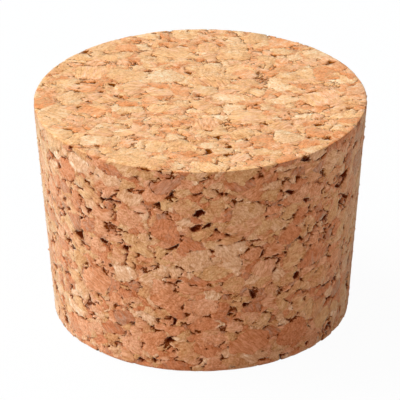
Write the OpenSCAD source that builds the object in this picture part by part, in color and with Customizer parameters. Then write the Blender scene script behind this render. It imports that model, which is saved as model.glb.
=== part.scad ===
// Tapered cork stopper: one solid of pressed cork granules, turned to a cone and cut flat at both
// ends. The axis is Z, the origin is the centre of the small end, and the large end is on top.

/* [Stopper] */
// Diameter of the large end, to the corner that its edge would have if it were sharp
large_d = 58; // [44:0.5:76]
// Diameter of the small end, which goes into the neck first, to its sharp corner
small_d = 52; // [40:0.5:70]
// Height from the small end to the large end
height = 40; // [20:1:60]

/* [Edges] */
// Radius worn on the edge of the large end
large_edge_r = 0.3; // [0.1:0.1:2]
// Radius worn on the edge of the small end
small_edge_r = 0.5; // [0.1:0.1:2]

/* [Hidden] */
$fn = 96;

cork_colour = [0.82, 0.62, 0.44];

large_r = large_d / 2;
small_r = small_d / 2;

// Angle between the side and the axis
taper = atan((large_r - small_r) / height);
// Unit vector out of the side, in the plane of the section
side_normal = [cos(taper), -sin(taper)];

// Centres of the two edge arcs, each of them tangent to its flat end and to the side
small_arc = [small_r - small_edge_r * (1 - sin(taper)) / cos(taper), small_edge_r];
large_arc = [large_r - large_edge_r * (1 + sin(taper)) / cos(taper), height - large_edge_r];

// Half section, from the axis out to the side
module half_section() {
    polygon([
        [0, 0],
        [small_arc.x, 0],
        small_arc + small_edge_r * side_normal,
        large_arc + large_edge_r * side_normal,
        [large_arc.x, height],
        [0, height]
    ]);
    translate(small_arc) circle(r = small_edge_r);
    translate(large_arc) circle(r = large_edge_r);
}

module stopper() {
    color(cork_colour)
        rotate_extrude() half_section();
}

stopper();
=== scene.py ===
"""Cork stopper: a tapered round of pressed cork granules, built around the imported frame."""

import math

import bpy
import numpy as np
from mathutils import Matrix, Vector


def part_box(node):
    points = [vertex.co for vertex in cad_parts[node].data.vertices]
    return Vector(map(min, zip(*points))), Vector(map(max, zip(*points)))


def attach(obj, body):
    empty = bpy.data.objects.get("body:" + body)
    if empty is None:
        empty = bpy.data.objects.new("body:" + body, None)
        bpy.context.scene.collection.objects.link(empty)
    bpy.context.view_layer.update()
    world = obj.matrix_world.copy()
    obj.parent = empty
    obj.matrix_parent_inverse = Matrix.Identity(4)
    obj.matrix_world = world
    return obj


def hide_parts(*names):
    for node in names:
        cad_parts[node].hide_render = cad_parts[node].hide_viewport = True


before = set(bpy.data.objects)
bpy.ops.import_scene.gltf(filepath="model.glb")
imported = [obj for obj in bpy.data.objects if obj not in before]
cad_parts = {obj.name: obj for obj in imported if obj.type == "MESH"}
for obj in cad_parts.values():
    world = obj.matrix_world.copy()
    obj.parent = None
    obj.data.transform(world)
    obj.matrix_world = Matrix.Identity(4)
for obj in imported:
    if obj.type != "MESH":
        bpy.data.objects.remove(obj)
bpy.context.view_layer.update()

MM = 0.001

low_corner, high_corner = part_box("stopper")
HEIGHT = high_corner.z - low_corner.z
MIDDLE = Vector((0, 0, HEIGHT / 2))

# The grid that the pits are cut into, and the most triangles that are kept of it
GRID_STEP = 0.16 * MM
MOST_TRIANGLES = 190000
# The pits sink towards a core this far inside the stopper, so that they also turn the corner
CORE_INSET = 2.5 * MM

# The stopper's map: how many strips the side is cut into, the space between the pieces of skin,
# and how much of a face's direction points up or down where it belongs to an end
MAP_STRIPS = 3
MAP_GAP = 2.4 * MM
END_SLOPE = 0.7

# Names of what the stopper's mesh carries at each point
REST = "rest"
OUTWARD = "outward"


# ---------------------------------------------------------------- node trees

class Field:
    """What one node socket gives all over a surface: a value, a colour or a vector."""

    def __init__(self, tree, socket=None):
        self.tree = tree
        self.socket = socket

    def node(self, kind, settings=None, values=None, output=0):
        """Adds a node, sets it up, fills its sockets and returns one of its outputs."""
        added = self.tree.nodes.new(kind)
        for name, setting in (settings or {}).items():
            if name == "stops":
                fill_ramp(added.color_ramp, setting)
            else:
                setattr(added, name, setting)
        for name, value in (values or {}).items():
            if isinstance(value, Field):
                self.tree.links.new(value.socket, added.inputs[name])
            else:
                added.inputs[name].default_value = value
        if not added.outputs:
            return None
        return Field(self.tree, added.outputs[output])

    def also(self, output):
        """Another output of the same node."""
        return Field(self.tree, self.socket.node.outputs[output])

    def calculate(self, operation, *terms):
        """A Vector Math node where a term is a vector, and a Math node where none is."""
        vectors = [t for t in terms if isinstance(t, tuple) or is_vector(t)]
        if not vectors:
            return self.node("ShaderNodeMath", {"operation": operation}, dict(enumerate(terms)))
        whole = [(t, t, t) if isinstance(t, (int, float)) else t for t in terms]
        return self.node("ShaderNodeVectorMath", {"operation": operation}, dict(enumerate(whole)))

    def __add__(self, other):
        return self.calculate("ADD", self, other)

    def __sub__(self, other):
        return self.calculate("SUBTRACT", self, other)

    def __mul__(self, other):
        return self.calculate("MULTIPLY", self, other)

    def __pow__(self, other):
        return self.calculate("POWER", self, other)

    def __rsub__(self, other):
        return self.calculate("SUBTRACT", other, self)

    def __lt__(self, other):
        return self.calculate("LESS_THAN", self, other)

    def __gt__(self, other):
        return self.calculate("GREATER_THAN", self, other)

    def __abs__(self):
        return self.calculate("ABSOLUTE", self)

    __radd__ = __add__
    __rmul__ = __mul__

    def least(self, other):
        return self.calculate("MINIMUM", self, other)

    def most(self, other):
        return self.calculate("MAXIMUM", self, other)

    def direction(self):
        """This vector made 1 long."""
        return self.calculate("NORMALIZE", self)

    def square_to(self, other):
        """The direction at right angles to this one and the other."""
        return self.calculate("CROSS_PRODUCT", self, other).direction()

    def rise(self, start, end):
        """0 up to start, 1 from end on, with a smooth slope between them. It falls if end is less."""
        values = {"Value": self, "From Min": start, "From Max": end}
        return self.node("ShaderNodeMapRange", {"interpolation_type": "SMOOTHSTEP"}, values)

    def swing(self, size):
        """What runs from 0 to 1, turned into what runs as far below 0 as above it."""
        return (self - 0.5) * size

    def part(self, axis):
        """The X, Y or Z part of a vector, or a colour's red, green or blue as the same letters."""
        return self.node("ShaderNodeSeparateXYZ", values={"Vector": self}, output=axis)

    def blend(self, low, high):
        """Low where this value is 0 and high where it is 1, for colours."""
        values = {0: self, 6: low, 7: high}
        return self.node("ShaderNodeMix", {"data_type": "RGBA"}, values, 2)

    def blend_values(self, low, high):
        """Low where this value is 0 and high where it is 1, for values."""
        return self.node("ShaderNodeMix", {"data_type": "FLOAT"}, {0: self, 2: low, 3: high})

    def noise(self, grain, detail=2.0, roughness=0.5):
        """Smooth noise from 0 to 1 with lumps about this wide. This field is the place, in mm."""
        values = {"Vector": self, "Scale": 1 / grain, "Detail": detail, "Roughness": roughness}
        return self.node("ShaderNodeTexNoise", {"noise_dimensions": "3D"}, values)

    def tone(self, stops):
        """The colour that a ramp gives this value."""
        return self.node("ShaderNodeValToRGB", {"stops": stops}, {"Fac": self}, "Color")


def cleared(owner):
    """An empty node tree for a material or the world, to add nodes to."""
    owner.use_nodes = True
    owner.node_tree.nodes.clear()
    return Field(owner.node_tree)


def dot(one, other):
    return one.calculate("DOT_PRODUCT", one, other).also("Value")


def is_vector(term):
    return isinstance(term, Field) and term.socket.type in ("VECTOR", "RGBA")


def fill_ramp(ramp, stops):
    """Gives a colour ramp these stops, each a place and a colour."""
    while len(ramp.elements) < len(stops):
        ramp.elements.new(1.0)
    for element, (place, colour) in zip(ramp.elements, stops):
        element.position = place
        element.color = colour


def paint(red, green, blue):
    """A colour written as screen values up to 255, as the linear colour that nodes take."""
    return tuple(linear(value / 255) for value in (red, green, blue)) + (1.0,)


def linear(value):
    if value <= 0.04045:
        return value / 12.92
    return ((value + 0.055) / 1.055) ** 2.4


# ---------------------------------------------------------------- the cork's grain

# How much the granules are squeezed along X, Y and Z. They lie flat across the axis, because the
# cork was pressed along it, and are a little wider from side to side than from front to back.
SQUEEZED = (1.0, 1.2, 1.47)
# Where in an endless block of pressed cork the stopper is cut, in mm
CUT_AT = (100.0, 0.0, 0.0)

# Each size of granule: the width of its cells in mm, the share of them that hold one, and how far
# its rounded corners and its flat faces lie from its middle, as shares of the width. The largest
# hide the smaller ones behind them. Crumbs fill their cells, so they have no corners or faces.
LARGE = (6.8, 0.27, 0.58, 0.46)
MEDIUM = (4.6, 0.62, 0.62, 0.46)
SMALL = (3.0, 0.76, 0.68, 0.48)
CRUMBS = (1.7, 0.81, None, None)
# How far apart the cells of the different sizes are laid out, in widths of a cell
CELL_SHIFT = (11.3, 7.9, 5.1)
# A distance in mm that is further than any granule reaches
FAR = 9.0

# How far the granules' outlines wave and fray, in mm, and how wide the waves are
WAVE = 2.2
WAVE_WIDTH = 4.5
FRAYING = 1.1
FRAYING_WIDTH = 1.3

# How much narrower the gaps between granules are, in mm: everywhere, and also on the cut ends
GAP_CLOSING = 0.03
END_GAP_CLOSING = 0.17

# A direction that no granule's fibres are likely to share, to find what is square to them
SLANT = (0.4, 0.2, 0.9)

# How close to the end faces the finish of the cut ends starts and is full
END_CUT_START = 0.12 * MM
END_CUT_FULL = 0.02 * MM

# The noise that opens joints: how it is stretched, how wide it is in mm, and up to what value
# joints stay shut. That value is less on the cut ends and beside a gap, and BY_GAPS says how far
# inside the gap, in mm, that starts and is full, where less than 0 is outside it.
JOINT_STRETCH = (0.8, 0.8, 1.2)
JOINT_NOISE_WIDTH = 1.8
JOINT_SHUT = 0.592
JOINT_OPEN_ON_ENDS = 0.010
JOINT_OPEN_BY_GAPS = 0.06
BY_GAPS = (-0.9, 0.0)
# How fast joints get wider with that noise, in mm, how much faster on the cut ends, and how wide
# they get: a share of the granule's width and a little besides
JOINT_WIDENING = 2.2
END_JOINT_WIDENING = 1.2
WIDEST_SHARE = 0.05
WIDEST_BESIDES = 0.05
# Where a joint's soft edge lies, and how far inside a gap its dark starts and is full, in mm
JOINT_EDGE = (-0.03, 0.05)
PIT_DARK = (0.03, 0.16)

# Shifts in mm that keep one noise from following another
JOINT_SHIFT = (40.0, 0.0, 0.0)
FLAKE_SHIFT = (0.0, 60.0, 0.0)
LINE_SHIFT = (0.0, 30.0, 0.0)
SLIVER_SHIFT = (20.0, 0.0, 0.0)
BORDER_SHIFT = (0.0, 0.0, 70.0)


class Grain:
    """The granules at a place in the cork, which place gives in mm. ends is 1 on the cut ends.
    chance is the random colour of the granule there, width is the width of its cells, lean is how
    high its own tilt lifts the place, depth is how far the place lies inside it, and hole is how
    far it lies inside a gap between granules."""

    def __init__(self, rest):
        self.ends = end_cut(rest)
        self.place = rest * (1 / MM)
        wave = self.place.noise(WAVE_WIDTH, 1.0).also("Color").swing(WAVE)
        ragged = self.place.noise(FRAYING_WIDTH, 4.0, 0.7).also("Color").swing(FRAYING)
        packed = (self.place + wave + ragged) * SQUEEZED + CUT_AT
        here, inside, away, self.chance, self.lean = granules(packed, *CRUMBS)
        self.depth = abs(inside)
        gap = here.blend_values(away, 0.0 - inside)
        self.hole = gap - self.ends * END_GAP_CLOSING - GAP_CLOSING
        self.width = CRUMBS[0]
        for size in (SMALL, MEDIUM, LARGE):
            here, inside, away, own, lean = granules(packed, *size)
            shown = here * (inside > 0.0)
            self.chance = shown.blend(self.chance, own)
            self.lean = shown.blend_values(self.lean, lean)
            self.depth = shown.blend_values(self.depth.least(away), inside)
            self.hole = self.hole.least(away)
            self.width = shown.blend_values(self.width, size[0])


def granules(packed, width, share, corners, faces):
    """One size of granule: 1 where a cell holds one, how far inside it the place is in mm, how
    far outside this cell's and the next cell's granules it is in mm, the cell's random colour,
    and how high its own tilt lifts the place."""
    spot = packed + tuple(shift * width for shift in CELL_SHIFT)
    values = {"Vector": spot, "Scale": 1 / width}
    cell = spot.node("ShaderNodeTexVoronoi", {"feature": "F1"}, values, "Distance")
    second = spot.node("ShaderNodeTexVoronoi", {"feature": "F2"}, values, "Distance")
    wall = spot.node("ShaderNodeTexVoronoi", {"feature": "DISTANCE_TO_EDGE"}, values, "Distance")
    here = cell.also("Color").part(0) < share
    beside = second.also("Color").part(0) < share
    own = cell.also("Color") * (1 / share, 1.0, 1.0)
    inside = wall * width
    beyond = wall * width
    if corners:
        inside = inside.least(within(spot, cell, width, share, corners, faces))
        beyond = beyond.most(0.0 - within(spot, second, width, share, corners, faces))
    away = here.blend_values(FAR, 0.0 - inside).least(beside.blend_values(FAR, beyond))
    lean = dot(own - 0.5, spot - cell.also("Position"))
    return here, inside, away, own, lean


def within(spot, cell, width, share, corners, faces):
    """How far inside a chunk of cork the place is, in mm. A chunk has two pairs of flat faces,
    turned its own way, and rounded corners."""
    turn = fibre_way(cell.also("Color") * (1 / share, 1.0, 1.0))
    from_middle = spot - cell.also("Position")
    wide = abs(dot(turn, from_middle))
    high = abs(dot(turn.square_to(SLANT), from_middle))
    flat = faces * width - wide.most(high)
    return flat.least((corners - cell) * width)


def fibre_way(chance):
    """The direction that a granule's fibres run in, from its random colour."""
    return (chance - 0.5).direction()


def end_cut(rest):
    """1 on the two cut ends and 0 on the side."""
    up = abs(rest.part(2) - HEIGHT / 2)
    return up.rise(HEIGHT / 2 - END_CUT_START, HEIGHT / 2 - END_CUT_FULL)


def pits(grain):
    """1 in the holes where granules don't meet, and 0 on the granules."""
    return grain.hole.rise(*PIT_DARK)


def open_joints(grain):
    """1 in the thin open joints between granules. Joints are wider round large granules, and
    half as wide on the cut ends."""
    wander = (grain.place * JOINT_STRETCH + JOINT_SHIFT).noise(JOINT_NOISE_WIDTH, 3.0, 0.6)
    shut = JOINT_SHUT - grain.ends * JOINT_OPEN_ON_ENDS
    shut = shut - grain.hole.rise(*BY_GAPS) * JOINT_OPEN_BY_GAPS
    widest = (grain.width * WIDEST_SHARE + WIDEST_BESIDES) * (1.0 - grain.ends * 0.5)
    width = ((wander - shut) * (JOINT_WIDENING + grain.ends * END_JOINT_WIDENING)).least(widest)
    return (width - grain.depth).rise(*JOINT_EDGE)


# ---------------------------------------------------------------- the stopper's shape

def outline():
    """The CAD stopper's section from the small end up its side to the large end, as radii and
    heights."""
    points = np.array([v.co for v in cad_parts["stopper"].data.vertices])
    radii = np.hypot(points[:, 0], points[:, 1])
    # Rounded, so that the points of one ring have one height
    heights = points[:, 2].round(7)
    levels = np.unique(heights)
    return np.array([radii[heights == level].max() for level in levels]), levels


def evenly(radii, heights, step):
    """The same section with its points about one step apart."""
    along = np.concatenate([[0], np.cumsum(np.hypot(np.diff(radii), np.diff(heights)))])
    wanted = np.linspace(0, along[-1], int(round(along[-1] / step)) + 1)
    return np.interp(wanted, along, radii), np.interp(wanted, along, heights)


def disc_grid(sides):
    """A square grid bent into a round disc of radius 1, as X and Y, with its rim evenly spaced."""
    across = np.linspace(-1, 1, sides + 1)
    a, b = np.meshgrid(across, across, indexing="ij")
    wide = np.abs(a) > np.abs(b)
    reach = np.where(wide, a, b)
    ratio = np.where(wide, b, a) / np.where(reach == 0, 1, reach)
    angle = np.where(wide, ratio * math.pi / 4, math.pi / 2 - ratio * math.pi / 4)
    return reach * np.cos(angle), reach * np.sin(angle)


def turned_mesh(name, step):
    """A closed mesh of the stopper in small squares, with its ends joined to its side. Each end is
    a square grid bent round, so that a quarter of a ring fits each of its four sides."""
    radii, heights = evenly(*outline(), step)
    sides = int(round(2 * math.pi * radii.max() / step / 4))
    around = 4 * sides
    turn = np.arange(around) * 2 * math.pi / around - math.pi / 4
    ring_x = radii[:, None] * np.cos(turn)
    ring_y = radii[:, None] * np.sin(turn)
    ring_z = np.repeat(heights[:, None], around, axis=1)
    points = [np.stack([ring_x, ring_y, ring_z], -1).reshape(-1, 3)]
    count = len(points[0])
    index = np.arange(count).reshape(len(radii), around)
    after = np.roll(index, -1, axis=1)
    squares = [np.stack([index[:-1], after[:-1], after[1:], index[1:]], -1).reshape(-1, 4)]

    disc_x, disc_y = disc_grid(sides)
    rim = np.round((np.arctan2(disc_y, disc_x) + math.pi / 4) / (2 * math.pi / around))
    rim = rim.astype(int) % around
    for ring, radius, height, up in ((0, radii[0], heights[0], -1), (-1, radii[-1], heights[-1], 1)):
        numbers = index[ring][rim]
        inner = (sides - 1) ** 2
        numbers[1:-1, 1:-1] = np.arange(count, count + inner).reshape(sides - 1, sides - 1)
        count += inner
        flat = np.stack([disc_x * radius, disc_y * radius, np.full_like(disc_x, height)], -1)
        points.append(flat[1:-1, 1:-1].reshape(-1, 3))
        corners = [numbers[:-1, :-1], numbers[1:, :-1], numbers[1:, 1:], numbers[:-1, 1:]]
        squares.append(np.stack(corners[::up], -1).reshape(-1, 4))
    return mesh_of(name, np.concatenate(points), np.concatenate(squares))


def mesh_of(name, points, squares):
    """A mesh of these points and four-sided faces."""
    mesh = bpy.data.meshes.new(name)
    mesh.vertices.add(len(points))
    mesh.vertices.foreach_set("co", points.ravel())
    mesh.loops.add(squares.size)
    mesh.loops.foreach_set("vertex_index", squares.ravel())
    mesh.polygons.add(len(squares))
    mesh.polygons.foreach_set("loop_start", np.arange(len(squares)) * squares.shape[1])
    mesh.update(calc_edges=True)
    mesh.validate()
    return mesh


def outward_from_core(points):
    """For each point of the surface, the direction straight out from the core."""
    radii, heights = outline()
    reach = np.hypot(points[:, 0], points[:, 1])
    core_z = np.clip(points[:, 2], CORE_INSET, HEIGHT - CORE_INSET)
    core_r = np.minimum(reach, np.interp(core_z, heights, radii) - CORE_INSET)
    scale = (reach - core_r) / np.where(reach == 0, 1, reach)
    away = np.stack([points[:, 0] * scale, points[:, 1] * scale, points[:, 2] - core_z], -1)
    return away / np.linalg.norm(away, axis=1)[:, None]


def read_points(mesh):
    points = np.empty(len(mesh.vertices) * 3)
    mesh.vertices.foreach_get("co", points)
    return points.reshape(-1, 3)


def read_vectors(mesh, name):
    vectors = np.empty(len(mesh.vertices) * 3)
    mesh.attributes[name].data.foreach_get("vector", vectors)
    return vectors.reshape(-1, 3)


def read_numbers(items, name):
    numbers = np.empty(len(items), dtype=np.int32)
    items.foreach_get(name, numbers)
    return numbers


def store_vectors(mesh, name, vectors):
    mesh.attributes.new(name, "FLOAT_VECTOR", "POINT")
    mesh.attributes[name].data.foreach_set("vector", vectors.ravel())


# Where the wall of a pit starts and ends, in mm inside the gap between the granules
PIT_WALL = (-0.02, 0.50)
# Depths below the turned shape, in mm: the floor of a pit and how uneven it is, an open joint,
# a granule that has sunk or tilted, and the groove along a granule's border
PIT_DEPTH = 1.2
PIT_UNEVENNESS = 0.8
JOINT_DEPTH = 0.28
SUNKEN = 0.09
TILT = 0.07
GROOVE_WIDTH = 0.12
GROOVE_SLOPE = 0.4
# Which of the granules have sunk, by their random green: from not at all to fully
SINKING = (0.35, 1.0)
# How much shallower all this is on the cut ends, as a share
END_SMOOTHING = 0.5
# The flakes that stand proud of the side: their width and height in mm, and how rare they are
FLAKE_WIDTH = 0.7
FLAKE_HEIGHT = 0.30
FLAKE_RARITY = (0.65, 0.83)


def carving():
    """Geometry nodes that sink the pits and joints into the stopper and raise its flakes."""
    tree = bpy.data.node_groups.new("carved_grain", "GeometryNodeTree")
    tree.interface.new_socket("Geometry", in_out="INPUT", socket_type="NodeSocketGeometry")
    tree.interface.new_socket("Geometry", in_out="OUTPUT", socket_type="NodeSocketGeometry")
    start = Field(tree)
    body = start.node("NodeGroupInput")
    vector = {"data_type": "FLOAT_VECTOR"}
    rest = start.node("GeometryNodeInputNamedAttribute", vector, {"Name": REST})
    outward = start.node("GeometryNodeInputNamedAttribute", vector, {"Name": OUTWARD})
    offset = outward * (sunk(rest) * -MM)
    carved = start.node("GeometryNodeSetPosition", {}, {"Geometry": body, "Offset": offset})
    start.node("NodeGroupOutput", {}, {"Geometry": carved})
    return tree


def sunk(rest):
    """How deep the surface lies below the turned shape, in mm. Only flakes stand above it."""
    grain = Grain(rest)
    floor = PIT_DEPTH + grain.place.noise(1.4, 2.0).swing(PIT_UNEVENNESS)
    pit = grain.hole.rise(*PIT_WALL) * floor
    joint = open_joints(grain) * JOINT_DEPTH
    sunken = grain.chance.part(1).rise(*SINKING) * SUNKEN
    groove = (GROOVE_WIDTH - grain.depth).most(0.0) * GROOVE_SLOPE
    relief = (sunken + grain.lean * TILT).most(0.0) + groove
    smoothed = (pit.most(joint) + relief) * (1.0 - grain.ends * END_SMOOTHING)
    flakes = (grain.place + FLAKE_SHIFT).noise(FLAKE_WIDTH, 2.0).rise(*FLAKE_RARITY)
    return smoothed - flakes * (1.0 - grain.ends) * FLAKE_HEIGHT


def lay_flat(mesh):
    """Lays the stopper's skin out on one square map: the side as strips above each other, and the
    two ends beside them."""
    rest = read_vectors(mesh, REST)
    first = read_numbers(mesh.polygons, "loop_start")
    count = read_numbers(mesh.polygons, "loop_total")
    corner = rest[read_numbers(mesh.loops, "vertex_index")]
    face = np.repeat(np.arange(len(first)), count)
    following = np.arange(len(corner)) + 1
    following[first + count - 1] = first
    facing = np.add.reduceat(np.cross(corner, corner[following]), first)
    middle = np.add.reduceat(corner, first) / count[:, None]

    radii, heights = outline()
    sector = 2 * math.pi / MAP_STRIPS
    strip = np.floor((np.arctan2(middle[:, 1], middle[:, 0]) + math.pi) / sector)
    strip = strip.clip(0, MAP_STRIPS - 1)[face]
    turned = np.arctan2(corner[:, 1], corner[:, 0]) + math.pi - (strip + 0.5) * sector
    turned = (turned + math.pi) % (2 * math.pi) - math.pi
    strip_width = sector * radii.mean()
    place = np.stack([
        MAP_GAP + strip_width / 2 + turned * radii.mean(),
        MAP_GAP + strip * (HEIGHT + MAP_GAP) + corner[:, 2],
    ], 1)

    widest = radii.max()
    across = 2 * MAP_GAP + strip_width + widest
    flat = np.abs(facing[:, 2]) > END_SLOPE * np.linalg.norm(facing, axis=1)
    for up, centre in ((1, MAP_GAP + widest), (-1, 2 * MAP_GAP + 3 * widest)):
        own = (flat & (facing[:, 2] * up > 0))[face]
        place[own] = np.stack([across + corner[own, 0], centre + up * corner[own, 1]], 1)
    layer = mesh.uv_layers.new(name="OFBake")
    side = MAP_STRIPS * HEIGHT + (MAP_STRIPS + 1) * MAP_GAP
    layer.uv.foreach_set("vector", (place / side).ravel())


def level_ends(mesh):
    """Brings the points that thinning moved past a cut end back to that end."""
    points = read_points(mesh)
    points[:, 2] = points[:, 2].clip(0, HEIGHT)
    mesh.vertices.foreach_set("co", points.ravel())
    mesh.update()


def settle(piece):
    """Puts what the piece's modifiers make into its own mesh."""
    shown = piece.evaluated_get(bpy.context.evaluated_depsgraph_get())
    made = bpy.data.meshes.new_from_object(shown)
    piece.modifiers.clear()
    piece.data = made


def carved_stopper():
    """The cork body: a fine turned mesh, carved, thinned and laid out flat for its map."""
    mesh = turned_mesh("cork_body", GRID_STEP)
    points = read_points(mesh)
    store_vectors(mesh, REST, points)
    store_vectors(mesh, OUTWARD, outward_from_core(points))
    piece = bpy.data.objects.new("cork_body", mesh)
    bpy.context.scene.collection.objects.link(piece)
    piece.modifiers.new("grain", "NODES").node_group = carving()
    settle(piece)
    thinned = piece.modifiers.new("thinned", "DECIMATE")
    thinned.ratio = MOST_TRIANGLES / (2 * len(piece.data.polygons))
    settle(piece)
    piece.data.attributes.remove(piece.data.attributes[OUTWARD])
    level_ends(piece.data)
    lay_flat(piece.data)
    piece.data.shade_smooth()
    return piece


# ---------------------------------------------------------------- cork's finish

# The side's tones are redder than the cut ends': partly because the side is cut differently, and
# partly painted shade, the deeper red that the cork shows where it lies in shade.
SIDE_TONES = (
    (0.00, paint(183, 127, 97)),
    (0.14, paint(200, 117, 75)),
    (0.30, paint(213, 134, 90)),
    (0.44, paint(222, 152, 112)),
    (0.56, paint(211, 142, 95)),
    (0.70, paint(212, 151, 100)),
    (0.84, paint(221, 160, 118)),
    (0.95, paint(225, 166, 125)),
    (1.00, paint(235, 188, 150)),
)
END_TONES = (
    (0.00, paint(232, 156, 99)),
    (0.12, paint(241, 145, 83)),
    (0.28, paint(248, 164, 105)),
    (0.44, paint(250, 183, 137)),
    (0.56, paint(247, 175, 117)),
    (0.70, paint(247, 180, 118)),
    (0.84, paint(251, 189, 137)),
    (0.94, paint(252, 194, 141)),
    (1.00, paint(254, 207, 161)),
)
SIDE_PIT = paint(108, 36, 5)
END_PIT = paint(144, 72, 10)
SIDE_JOINT = paint(120, 50, 10)
END_JOINT = paint(158, 84, 20)

# How far along the tones each granule's own tone, its streaks and the slow drift from one region
# to the next reach, each on the side and on the cut ends
OWN_TONE = (0.92, 0.82)
STREAKS = (0.50, 0.90)
DRIFT = (0.10, 0.85)
STREAK_WIDTH = 0.8
DRIFT_WIDTH = 5.0

# The cork's lightness without marks, and how strongly marks change it: each granule's own
# lightness, blotches, fibres, small slivers, bark specks, the darkening beside pits, and the share
# of the painted highlight and shade at a granule's border that shows. Two numbers are for the
# side and for the cut ends.
PLAIN_LIGHT = (1.0, 1.03)
OWN_LIGHT = (0.12, 0.18)
BLOTCHES = 0.6
FIBRES = 0.67
SLIVERS = 0.24
SPECKS = 0.3
PIT_DARKENING = (0.12, 0.06)
PAINTED_RIM_SHARE = (1.0, 0.6)
# The growth lines: the least that they show, how much more they show in some granules, how many
# lie in a mm, and how far they waver in mm
LINES_LEAST = 0.14
LINES_MORE = 0.38
LINES_PER_MM = 2.6
LINE_WOBBLE = 1.3
# The widths of the fibres, blotches and slivers in mm
FIBRE_WIDTH = 0.32
BLOTCH_WIDTH = 1.2
SLIVER_WIDTH = 1.1
# The sizes of bark specks in widths of a sliver, where less than 0 is none, and their soft edge
SPECK_SIZES = (-0.26, 0.18)
SPECK_EDGE = (-0.05, 0.05)
# How deep inside a granule, in mm, the painted shade or highlight at its border and the thin
# painted shadow outline start and are full, and how strong they are where the border is painted
# pale and where it is painted dark
PAINTED_RIM_REACH = (0.35, 0.0)
PAINTED_RIM_LIGHT_AND_SHADE = (0.07, -0.12)
PAINTED_OUTLINE_REACH = (0.20, 0.02)
PAINTED_OUTLINE_SHADE = (0.04, 0.20)
# How far inside a gap, in mm, the darkening beside it starts and is full, where less than 0 is
# outside it
PIT_DARKENING_REACH = (-0.5, 0.0)

# The share of the way along its fibres that is taken out of a granule, so that noise is drawn out
# there, and how far apart, in mm, two granules can take their noise
DRAWN_OUT = 0.8
STREAKS_APART = 40.0

# The powers that give a shade's red and blue, where its green is the shade itself, and the least
# that marks leave of the cork's lightness
RED_POWER = 0.54
BLUE_POWER = 1.50
DARKEST = 0.2

# Cork has no clear shine, only a soft glow from its torn cells
SHEEN_WEIGHT = 0.85
SHEEN_ROUGHNESS = 0.31
SHEEN_TINT = (1.0, 0.98, 0.74, 1.0)
# The roughness, how much more some granules have, and how high and strong the fine bumps are
ROUGHNESS = 0.78
ROUGHNESS_SPREAD = 0.15
BUMP_HEIGHT = 0.08 * MM
BUMP_STRENGTH = 0.8


def along_fibres(grain):
    """The place in mm, squeezed along each granule's own fibres, so that noise there is drawn out
    into streaks."""
    turn = fibre_way(grain.chance)
    along = turn * (dot(turn, grain.place) * DRAWN_OUT)
    return grain.place - along + grain.chance * STREAKS_APART


def growth_lines(grain):
    """Wavering lines across each granule's fibres, from 0 to 1."""
    across = dot(fibre_way(grain.chance).square_to(SLANT), grain.place)
    wobble = (grain.place + LINE_SHIFT).noise(1.6, 4.0, 0.7) * LINE_WOBBLE
    values = {"W": across + wobble, "Scale": LINES_PER_MM, "Detail": 1.0}
    return across.node("ShaderNodeTexNoise", {"noise_dimensions": "1D"}, values)


def slivers(grain):
    """Small ragged slivers of cork: how far the place is from a sliver's middle, in widths of a
    sliver. The same node's Color is the sliver's own random colour."""
    frayed = (grain.place + SLIVER_SHIFT).noise(0.7, 2.0).also("Color").swing(0.9)
    values = {"Vector": (grain.place + frayed) * (1.0, 1.0, 1.5), "Scale": 1 / SLIVER_WIDTH}
    return grain.place.node("ShaderNodeTexVoronoi", {"feature": "F1"}, values, "Distance")


def painted_border_light(grain):
    """Painted light and shade at a granule's border, as how much lighter or darker the cork is
    there: in places a painted highlight on the rim, in others painted shade, and on the cut ends a
    thin painted shadow outline too."""
    dark = (grain.place + BORDER_SHIFT).noise(2.2, 2.0).rise(0.40, 0.60)
    # In places a painted highlight on the rim, in others painted shade
    painted_rim = grain.depth.rise(*PAINTED_RIM_REACH) * dark.blend_values(*PAINTED_RIM_LIGHT_AND_SHADE)
    # On the cut ends, a thin painted shadow outline
    painted_outline = grain.depth.rise(*PAINTED_OUTLINE_REACH) * grain.ends * dark.blend_values(*PAINTED_OUTLINE_SHADE)
    return painted_rim * grain.ends.blend_values(*PAINTED_RIM_SHARE) - painted_outline


def markings(grain, fibre_place):
    """How light or dark the cork is, around 1: each granule's own lightness, blotches, fibres and
    growth lines that run its own way, slivers, bark specks, the darkening beside pits, and the
    painted highlight and painted shade at a granule's border."""
    ends = grain.ends
    own_light = grain.chance.part(1).swing(ends.blend_values(*OWN_LIGHT))
    blotches = grain.place.noise(BLOTCH_WIDTH, 5.0, 0.85).swing(BLOTCHES)
    fibres = fibre_place.noise(FIBRE_WIDTH, 3.0, 0.80).rise(0.30, 0.70).swing(FIBRES)
    lined = grain.chance.part(0).rise(0.2, 0.7) * LINES_MORE + LINES_LEAST
    lines = growth_lines(grain).swing(lined)
    sliver = slivers(grain)
    sliver_light = sliver.also("Color").part(0).swing(SLIVERS)
    speck_size = sliver.also("Color").part(1).blend_values(*SPECK_SIZES)
    specks = (speck_size - sliver).rise(*SPECK_EDGE) * SPECKS
    pit_darkening = grain.hole.rise(*PIT_DARKENING_REACH) * ends.blend_values(*PIT_DARKENING)
    light = ends.blend_values(*PLAIN_LIGHT) + own_light + blotches + fibres + sliver_light + lines
    return light - specks - pit_darkening + painted_border_light(grain)


def warmed(shade):
    """Cork's dark marks are redder and its light ones paler: red, green and blue for a shade."""
    values = {"X": shade ** RED_POWER, "Y": shade, "Z": shade ** BLUE_POWER}
    return shade.node("ShaderNodeCombineXYZ", {}, values)


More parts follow.
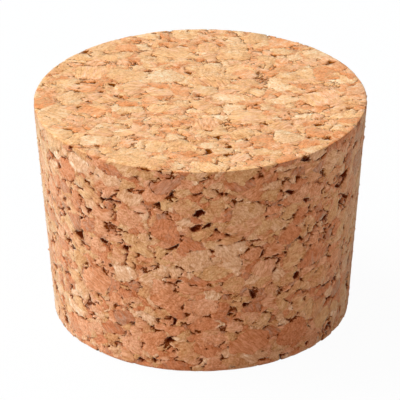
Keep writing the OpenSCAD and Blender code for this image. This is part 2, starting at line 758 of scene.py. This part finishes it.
def cork_material():
    material = bpy.data.materials.new("pressed_cork")
    start = cleared(material)
    rest = start.node("ShaderNodeAttribute", {"attribute_name": REST}, output="Vector")
    grain = Grain(rest)
    ends = grain.ends
    fibre_place = along_fibres(grain)
    own_tone = grain.chance.part(2).swing(ends.blend_values(*OWN_TONE))
    streaks = fibre_place.noise(STREAK_WIDTH, 3.0, 0.6).swing(ends.blend_values(*STREAKS))
    drift = grain.place.noise(DRIFT_WIDTH, 2.0).swing(ends.blend_values(*DRIFT))
    tone = own_tone + 0.5 + streaks + drift
    colour = ends.blend(tone.tone(SIDE_TONES), tone.tone(END_TONES))
    # The shade holds the cork's own marks and also the painted highlight and shade at a granule's
    # border
    shade = markings(grain, fibre_place)
    colour = colour * warmed(shade.most(DARKEST))
    patchy = warmed(grain.place.noise(0.6, 3.0, 0.7) + 0.5)
    colour = open_joints(grain).blend(colour, ends.blend(SIDE_JOINT, END_JOINT) * patchy)
    colour = pits(grain).blend(colour, ends.blend(SIDE_PIT, END_PIT) * patchy)
    bump_values = {"Height": shade, "Distance": BUMP_HEIGHT, "Strength": BUMP_STRENGTH}
    values = {
        "Base Color": colour,
        "Roughness": ROUGHNESS + grain.chance.part(1) * ROUGHNESS_SPREAD,
        "Normal": start.node("ShaderNodeBump", {}, bump_values, "Normal"),
        "Specular IOR Level": 0.0,
        "Sheen Weight": SHEEN_WEIGHT,
        "Sheen Roughness": SHEEN_ROUGHNESS,
        "Sheen Tint": SHEEN_TINT,
    }
    shader = start.node("ShaderNodeBsdfPrincipled", {}, values)
    start.node("ShaderNodeOutputMaterial", {}, {"Surface": shader})
    return material


# ---------------------------------------------------------------- floor, light and camera

WHITE = (1.0, 1.0, 1.0, 1.0)
# The floor's side in metres, its paint, and how much of what is seen of it is plain white. The
# rest shows the stopper's shadow.
FLOOR_SIDE = 6.0
FLOOR_PAINT = (0.85, 0.85, 0.85, 1.0)
FLOOR_WHITE_SHARE = 0.96
# The world's strength as light on the stopper, and where it is looked at
WORLD_LIGHT = 0.2
WORLD_WHITE = 1.0

# How far from the stopper the lamps hang and how wide they are, in metres
LAMP_DISTANCE = 1.6
LAMP_SIZE = 1.0
# Each lamp's place, as degrees to the right of the front and degrees up, its power and its colour
LAMPS = {
    "left_softbox": (-68, 15, 15.6, (1.0, 1.16, 1.25)),
    "left_rim_light": (-125, 20, 6.3, (1.0, 1.40, 1.50)),
    "high_left_softbox": (-110, 50, 18.2, (1.0, 1.10, 1.16)),
    "right_fill": (100, 25, 5.0, (1.0, 0.97, 0.92)),
    "front_fill": (30, 25, 2.5, (1.0, 0.88, 0.76)),
}

# The camera's elevation and roll in degrees, its lens and sensor in mm, how far away it stands
# and what it aims at, and the nearest and furthest that it sees in metres
CAMERA_ELEVATION = 26.83
CAMERA_ROLL = -0.37
CAMERA_LENS = 402.7
CAMERA_SENSOR = 36
CAMERA_DISTANCE = 786 * MM
CAMERA_AIM = Vector((-0.16 * MM, 0, 20.17 * MM))
CAMERA_NEAREST = 0.01
CAMERA_FURTHEST = 20


def looked_at(start):
    """1 where the camera looks, also in a mirror or through glass, and 0 for light on pieces."""
    seen = start.node("ShaderNodeLightPath", output="Is Camera Ray")
    return seen.most(seen.also("Is Glossy Ray")).most(seen.also("Is Transmission Ray"))


def white_floor():
    """A matte floor that is white where it is looked at and keeps the stopper's shadow."""
    material = bpy.data.materials.new("white_floor")
    start = cleared(material)
    matte = start.node("ShaderNodeBsdfDiffuse", {}, {"Color": FLOOR_PAINT})
    white = start.node("ShaderNodeEmission", {}, {"Color": WHITE, "Strength": 1.0})
    values = {0: looked_at(start) * FLOOR_WHITE_SHARE, 1: matte, 2: white}
    shader = start.node("ShaderNodeMixShader", {}, values)
    start.node("ShaderNodeOutputMaterial", {}, {"Surface": shader})
    return material


def add_floor():
    half = FLOOR_SIDE / 2
    corners = [(-half, -half, 0), (half, -half, 0), (half, half, 0), (-half, half, 0)]
    mesh = bpy.data.meshes.new("floor")
    mesh.from_pydata(corners, [], [(0, 1, 2, 3)])
    mesh.materials.append(white_floor())
    floor = bpy.data.objects.new("floor", mesh)
    bpy.context.scene.collection.objects.link(floor)


def add_lamp(name, azimuth, elevation, power, colour):
    """A square soft light, aimed at the stopper from this direction in degrees."""
    turn, lift = math.radians(azimuth), math.radians(elevation)
    level = math.cos(lift)
    away = Vector((math.sin(turn) * level, -math.cos(turn) * level, math.sin(lift)))
    lamp = bpy.data.lights.new(name, "AREA")
    lamp.size = LAMP_SIZE
    lamp.energy = power
    lamp.color = colour
    holder = bpy.data.objects.new(name, lamp)
    holder.location = MIDDLE + away * LAMP_DISTANCE
    holder.rotation_euler = (-away).to_track_quat("-Z", "Y").to_euler()
    bpy.context.scene.collection.objects.link(holder)


def add_world():
    world = bpy.data.worlds.new("studio")
    bpy.context.scene.world = world
    start = cleared(world)
    strength = looked_at(start).blend_values(WORLD_LIGHT, WORLD_WHITE)
    shader = start.node("ShaderNodeBackground", {}, {"Color": WHITE, "Strength": strength})
    start.node("ShaderNodeOutputWorld", {}, {"Surface": shader})


def add_camera():
    lift = math.radians(CAMERA_ELEVATION)
    away = Vector((0, -math.cos(lift), math.sin(lift)))
    camera = bpy.data.cameras.new("camera")
    camera.lens = CAMERA_LENS
    camera.sensor_width = CAMERA_SENSOR
    camera.clip_start = CAMERA_NEAREST
    camera.clip_end = CAMERA_FURTHEST
    holder = bpy.data.objects.new("camera", camera)
    aimed = (-away).to_track_quat("-Z", "Y").to_matrix().to_4x4()
    rolled = Matrix.Rotation(math.radians(CAMERA_ROLL), 4, "Z")
    holder.matrix_world = Matrix.Translation(CAMERA_AIM + away * CAMERA_DISTANCE) @ aimed @ rolled
    bpy.context.scene.collection.objects.link(holder)
    bpy.context.scene.camera = holder


stopper = carved_stopper()
stopper.data.materials.clear()
stopper.data.materials.append(cork_material())
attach(stopper, "root")
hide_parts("stopper")

add_floor()
for name, settings in LAMPS.items():
    add_lamp(name, *settings)
add_world()
add_camera()
bpy.context.scene.view_settings.view_transform = "Standard"
